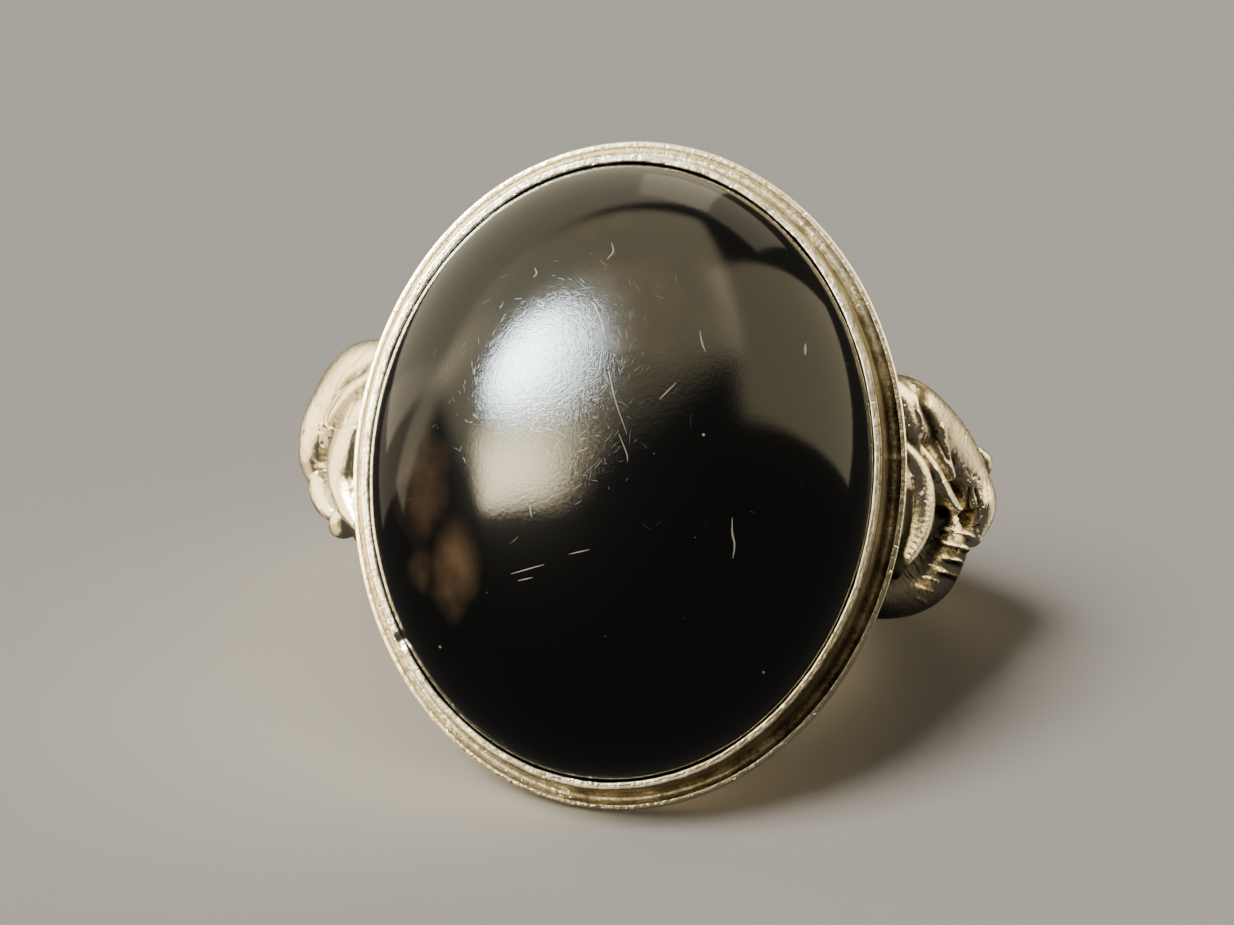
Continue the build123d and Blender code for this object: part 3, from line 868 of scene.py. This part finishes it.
def addNode(tree, kind, settings=None, links=None):
    # one node: settings by attribute or by socket, a ramp's stops as place and hex colour or
    # plain value, and links as socket: (node, socket)
    node = tree.nodes.new(kind)
    for key, value in (settings or {}).items():
        if key == "stops":
            points = node.color_ramp.elements
            while len(points) < len(value):
                points.new(0.5)
            for point, (place, color) in zip(points, value):
                point.position = place
                point.color = linear(color) if isinstance(color, str) else (*[color] * 3, 1)
        elif isinstance(key, str) and hasattr(node, key):
            setattr(node, key, value)
        else:
            node.inputs[key].default_value = value
    for key, (other, socket) in (links or {}).items():
        tree.links.new(other.outputs[socket], node.inputs[key])
    return node


def newMaterial(name, settings):
    # a material, with its constants on the shader's own sockets
    material = bpy.data.materials.new(name)
    material.use_nodes = True
    tree = material.node_tree
    shader = tree.nodes["Principled BSDF"]
    for socket, value in settings.items():
        shader.inputs[socket].default_value = value
    return material, tree, shader


silverLook = {
    "bright": "#E9DEC4",
    "worn": "#A89C82",
    "tan": "#5B5241",
    "tarnish": "#15120E",
    "brightRoughness": 0.15,
    "tarnishRoughness": 0.50,
    "tarnishMetallic": 0.65,
    # noises: millimetres between the bumps, detail and roughness; the real grain and pits of a
    # casting are finer, and are drawn as coarse as they need to show
    "noises": {
        "patches": (0.8, 6, 0.62),      # of tarnish
        "specks": (0.14, 3, 0.7),       # at the edge of a patch
        "scuffs": (0.35, 4, 0.7),       # in the polish
        "grain": (0.25, 5, 0.6),        # of the cast skin
    },
    "patchShare": 0.7,        # how much the patches and the specks spread the tarnish
    "patchDrop": -0.65,
    "speckShare": 0.6,
    "scuffShare": 0.16,
    "pitSpacing": 0.3,        # millimetres between the pits of the casting
    "pitRadius": 0.16,        # share of that spacing
    "grainShare": 0.6,
    "skinDepth": 0.12,
    "skinStrength": 0.45,
}


def castSilver():
    # sterling silver, cast and hand finished: warm and bright where fingers rub it, and dark brown
    # sulphide left in every recess, with the fine pits of the casting under the polish; the same
    # dark also carries painted shade, laid on where a piece lies in shade
    look = silverLook
    material, tree, shader = newMaterial("castSterlingSilver", {})
    onPiece = {"Vector": (addNode(tree, "ShaderNodeTexCoord"), "Object")}
    recess = addNode(tree, "ShaderNodeAttribute", {"attribute_name": "recess"})
    noises = {
        name: addNode(
            tree, "ShaderNodeTexNoise",
            {"Scale": 1 / (spacing * mm), "Detail": detail, "Roughness": roughness}, onPiece,
        )
        for name, (spacing, detail, roughness) in look["noises"].items()
    }
    # the depth of the tarnish and painted shade is read from the piece's attribute, with an edge
    # ragged by patches and specks
    spread = addNode(
        tree, "ShaderNodeMath",
        {"operation": "MULTIPLY_ADD", 1: look["patchShare"], 2: look["patchDrop"]},
        {0: (noises["patches"], "Fac")},
    )
    ragged = addNode(
        tree, "ShaderNodeMath", {"operation": "MULTIPLY_ADD", 1: look["speckShare"]},
        {0: (noises["specks"], "Fac"), 2: (spread, 0)},
    )
    depth = addNode(
        tree, "ShaderNodeMath", {"operation": "ADD", "use_clamp": True},
        {0: (recess, "Fac"), 1: (ragged, 0)},
    )
    stops = [(0.18, "bright"), (0.38, "worn"), (0.58, "tan"), (0.84, "tarnish")]
    color = addNode(
        tree, "ShaderNodeValToRGB", {"stops": [(place, look[name]) for place, name in stops]},
        {0: (depth, 0)},
    )
    rough = addNode(
        tree, "ShaderNodeMapRange",
        {1: 0.15, 2: 0.9, 3: look["brightRoughness"], 4: look["tarnishRoughness"]}, {0: (depth, 0)},
    )
    scuffed = addNode(
        tree, "ShaderNodeMath", {"operation": "MULTIPLY_ADD", 1: look["scuffShare"]},
        {0: (noises["scuffs"], "Fac"), 2: (rough, 0)},
    )
    metal = addNode(
        tree, "ShaderNodeMapRange",
        {1: 0.6, 2: 1.0, 3: 1.0, 4: look["tarnishMetallic"]}, {0: (depth, 0)},
    )
    pits = addNode(
        tree, "ShaderNodeTexVoronoi", {"Scale": 1 / (look["pitSpacing"] * mm), "Randomness": 1.0},
        onPiece,
    )
    pitEdge = addNode(
        tree, "ShaderNodeValToRGB", {"stops": [(0.0, 0.0), (look["pitRadius"], 1.0)]},
        {0: (pits, "Distance")},
    )
    relief = addNode(
        tree, "ShaderNodeMath", {"operation": "MULTIPLY_ADD", 1: look["grainShare"]},
        {0: (noises["grain"], "Fac"), 2: (pitEdge, 0)},
    )
    bump = addNode(
        tree, "ShaderNodeBump",
        {"Strength": look["skinStrength"], "Distance": look["skinDepth"] * mm},
        {"Height": (relief, 0)},
    )
    for socket, node in (
        ("Base Color", color), ("Roughness", scuffed), ("Metallic", metal), ("Normal", bump)
    ):
        tree.links.new(node.outputs[0], shader.inputs[socket])
    return material


onyxLook = {
    "black": "#040404",
    "brown": "#6E5840",
    "polish": 0.065,
    "haze": 0.28,
    "hazeWeight": 0.12,
    "refraction": 1.54,
    "cloudSize": 1.3,         # millimetres between the clouds in the thin dye
    "speckSize": 0.13,        # millimetres between the finest pits, coarser than the real wear
    "pitDepth": 0.020,
    "freshPits": 0.03,        # strength of the pits away from the wear, and in its middle
    "wornPits": 0.65,
    "scratchFloor": "#55524B",
    "deepScratch": "#B0A99F",
    "scratchRoughness": 0.34,
    "scratchSpecular": 0.8,
}


def polishedOnyx():
    # dyed black chalcedony, dome cut and polished to a gloss that wear has hazed a little; a faint
    # brown shows where the dye is thin
    look = onyxLook
    material, tree, shader = newMaterial("polishedBlackOnyx", {
        "IOR": look["refraction"],
        "Coat Weight": look["hazeWeight"],
        "Coat Roughness": look["haze"],
    })
    onPiece = {"Vector": (addNode(tree, "ShaderNodeTexCoord"), "Object")}
    thin = addNode(tree, "ShaderNodeAttribute", {"attribute_name": "thinDye"})
    cloud = addNode(
        tree, "ShaderNodeTexNoise", {"Scale": 1 / (look["cloudSize"] * mm), "Detail": 4}, onPiece
    )
    patchy = addNode(
        tree, "ShaderNodeMath", {"operation": "MULTIPLY"}, {0: (cloud, "Fac"), 1: (thin, "Fac")}
    )
    body = addNode(
        tree, "ShaderNodeValToRGB", {"stops": [(0.10, look["black"]), (0.60, look["brown"])]},
        {0: (patchy, 0)},
    )
    speck = addNode(
        tree, "ShaderNodeTexNoise",
        {"Scale": 1 / (look["speckSize"] * mm), "Detail": 5, "Roughness": 0.75}, onPiece,
    )
    rough = addNode(
        tree, "ShaderNodeMapRange",
        {1: 0.35, 2: 0.75, 3: 0.7 * look["polish"], 4: 1.5 * look["polish"]}, {0: (speck, "Fac")},
    )
    worn = addNode(tree, "ShaderNodeAttribute", {"attribute_name": "worn"})
    wear = addNode(
        tree, "ShaderNodeMapRange", {1: 0.0, 2: 1.0, 3: look["freshPits"], 4: look["wornPits"]},
        {0: (worn, "Fac")},
    )
    bump = addNode(
        tree, "ShaderNodeBump", {"Distance": look["pitDepth"] * mm},
        {"Height": (speck, "Fac"), "Strength": (wear, 0)},
    )
    for socket, node in (("Base Color", body), ("Roughness", rough), ("Normal", bump)):
        tree.links.new(node.outputs[0], shader.inputs[socket])
    return material


def scratchedOnyx():
    # the open floor of a scratch: frosted and grey, so that it glints near a highlight
    look = onyxLook
    material, tree, shader = newMaterial("scratchedOnyx", {
        "Roughness": look["scratchRoughness"],
        "Specular IOR Level": look["scratchSpecular"],
    })
    depth = addNode(tree, "ShaderNodeAttribute", {"attribute_name": "depth"})
    stops = [(0.30, look["black"]), (0.80, look["scratchFloor"]), (1.00, look["deepScratch"])]
    color = addNode(tree, "ShaderNodeValToRGB", {"stops": stops}, {0: (depth, "Fac")})
    tree.links.new(color.outputs[0], shader.inputs["Base Color"])
    return material


silver = castSilver()
onyx = polishedOnyx()
print("materials made")

# Tarnish all over a shoulder, heavier on the right partly as patina and partly as painted shade, as
# that shoulder lies in shade;
# a painted shadow under the bezel on the side that faces down; and one shared value where the two
# halves meet
rightTarnishAndShade = {"all": 0.42, "low": 0.75, "seam": 0.32}
leftTarnishAndShade = {"all": -0.04, "low": 0.10, "seam": 0.32}

silverPieces = [
    bandHalf(1, {**rightLeaves, **tailLeaves}, rightLines, rightTarnishAndShade),
    bandHalf(-1, {**leftLeaves, **tailLeaves}, leftLines, leftTarnishAndShade),
    steppedBezel(),
]
for piece in silverPieces:
    piece.data.materials.append(silver)
    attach(piece, "root")
    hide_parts("silver_mount")

for piece, material in ((onyxStone(), onyx), (stoneScratches(), scratchedOnyx())):
    piece.data.materials.append(material)
    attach(piece, "root")
    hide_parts("onyx_cabochon")


# Floor and light
studio = {
    "floor": "#CDCCCB",
    "floorRoughness": 0.85,
    "floorReach": 1.0,        # metres, where the backdrop rises
    "wallHeight": 1.0,
    "wall": "#CDC5BB",
    "wallGlow": 0.77,
    "room": "#8C8A84",        # the dim room that the ring mirrors
    "roomStrength": 0.30,
    "sun": (-0.46, -0.48, 0.75),
    "sunColor": "#FFF6E8",
    "sunStrength": 2.9,
    "sunAngle": 24,
    "backdropSides": 48,
}
softBoxes = [
    # name, direction from the ring, distance and two sides in metres, roll in degrees, watts,
    # colour
    ("keyLamp", (-0.51, -0.51, 0.68), 0.42, 0.16, 0.065, 64, 7.5, "#E8FAFF"),
    ("keyHalo", (-0.42, -0.47, 0.77), 0.42, 0.26, 0.12, 66, 0.4, "#EEF4EE"),
    ("warmPanel", (-0.535, -0.75, 0.39), 0.45, 0.21, 0.12, 24, 2.2, "#FFF0C8"),
    ("frontPanel", (-0.29, -0.39, 0.87), 0.60, 1.26, 0.70, 58, 5.1, "#FFEEC0"),
    ("rightPanel", (0.82, 0.02, 0.58), 0.50, 0.65, 0.40, -44, 1.2, "#FFEEC0"),
    ("bandPanel", (-0.54, 0.57, 0.62), 0.50, 1.08, 0.59, -24, 3.0, "#FFF0CC"),
    ("topPanel", (0.25, 0.58, 0.78), 0.50, 0.34, 0.25, 18, 0.26, "#FFF0CC"),
    ("leftPanel", (-0.99, 0.14, 0.07), 0.45, 0.40, 0.17, 37, 0.12, "#FFEEC6"),
    ("leftStreak", (-0.94, -0.13, 0.32), 0.45, 0.43, 0.07, 72, 0.12, "#FFEEC6"),
]
# light linking keeps these off the stone, so they light the silver only
silverBoxes = [
    ("leftSoft", (-0.95, -0.05, 0.25), 0.45, 0.80, 0.70, 0, 5.8, "#FFEBB8"),
    ("leftLowSoft", (-0.84, -0.10, -0.53), 0.45, 0.45, 0.50, 0, 1.1, "#FFE4B4"),
    ("rightSoft", (0.82, 0.25, 0.50), 0.50, 0.60, 0.50, 0, 3.5, "#FFEBB8"),
    ("rightLowSoft", (0.85, 0.50, -0.16), 0.45, 0.24, 0.30, 0, 0.30, "#FFEEC6"),
]


def stagePiece(name, points, faces, material):
    # the floor or the backdrop, which isn't part of the ring
    mesh = bpy.data.meshes.new(name)
    mesh.from_pydata(points, [], faces)
    mesh.materials.append(material)
    piece = addObject(name, mesh)
    piece.visible_glossy = False    # the ring mirrors the lamps in a dim room, and not these
    return piece


def addLight(name, light, toward, distance, roll, color):
    # a light stands off from the ring along its direction and faces it, rolled about that line
    light.color = linear(color)[:3]
    lamp = addObject(name, light)
    back = Vector(toward).normalized()
    facing = back.to_track_quat("Z", "Y").to_matrix().to_4x4()
    facing = facing @ Matrix.Rotation(np.radians(roll), 4, "Z")
    lamp.matrix_world = Matrix.Translation(back * distance) @ facing
    lamp.visible_camera = False
    return lamp


def addStudio():
    # a pale floor inside a round backdrop of the same tone, the soft boxes, the sun and the room
    far = studio["floorReach"]
    paint = newMaterial("matteFloorPaint", {
        "Base Color": linear(studio["floor"]),
        "Roughness": studio["floorRoughness"],
        "Specular IOR Level": 0,
    })[0]
    corners = [(-far, -far, 0), (far, -far, 0), (far, far, 0), (-far, far, 0)]
    stagePiece("floor", corners, [(0, 1, 2, 3)], paint)
    glow = newMaterial("litBackdrop", {
        "Base Color": linear("#000000"),
        "Specular IOR Level": 0,
        "Emission Color": linear(studio["wall"]),
        "Emission Strength": studio["wallGlow"],
    })[0]
    sides = studio["backdropSides"]
    turn = np.linspace(0, fullTurn, sides, endpoint=False)
    circle = 0.99 * far * np.stack([np.cos(turn), np.sin(turn)], 1)
    level = np.zeros(sides)
    rings = [np.column_stack([circle, level + height]) for height in (0, studio["wallHeight"])]
    beside = [(k, (k + 1) % sides, (k + 1) % sides + sides, k + sides) for k in range(sides)]
    wall = stagePiece("backdrop", np.concatenate(rings), beside, glow)
    wall.visible_diffuse = False
    wall.visible_shadow = False

    # the soft boxes are what the polish mirrors, and the broad sun lights the floor evenly
    silverAlone = bpy.data.collections.new("silverAlone")
    for piece in silverPieces:
        silverAlone.objects.link(piece)
    for box in softBoxes + silverBoxes:
        name, toward, distance, width, height, roll, watts, color = box
        light = bpy.data.lights.new(name, "AREA")
        light.shape = "ELLIPSE" if name in ("keyLamp", "keyHalo") else "RECTANGLE"
        light.size, light.size_y = width, height
        light.energy = watts
        lamp = addLight(name, light, toward, distance, roll, color)
        lamp.visible_diffuse = False
        if box in silverBoxes:
            lamp.light_linking.receiver_collection = silverAlone
    sun = bpy.data.lights.new("broadSun", "SUN")
    sun.energy = studio["sunStrength"]
    sun.angle = np.radians(studio["sunAngle"])
    lamp = addLight("broadSun", sun, studio["sun"], 3, 0, studio["sunColor"])
    lamp.visible_glossy = False
    world = bpy.data.worlds.new("studioWorld")
    world.use_nodes = True
    sky = world.node_tree.nodes["Background"]
    sky.inputs["Color"].default_value = linear(studio["room"])
    sky.inputs["Strength"].default_value = studio["roomStrength"]
    bpy.context.scene.world = world


addStudio()
print("studio lit")
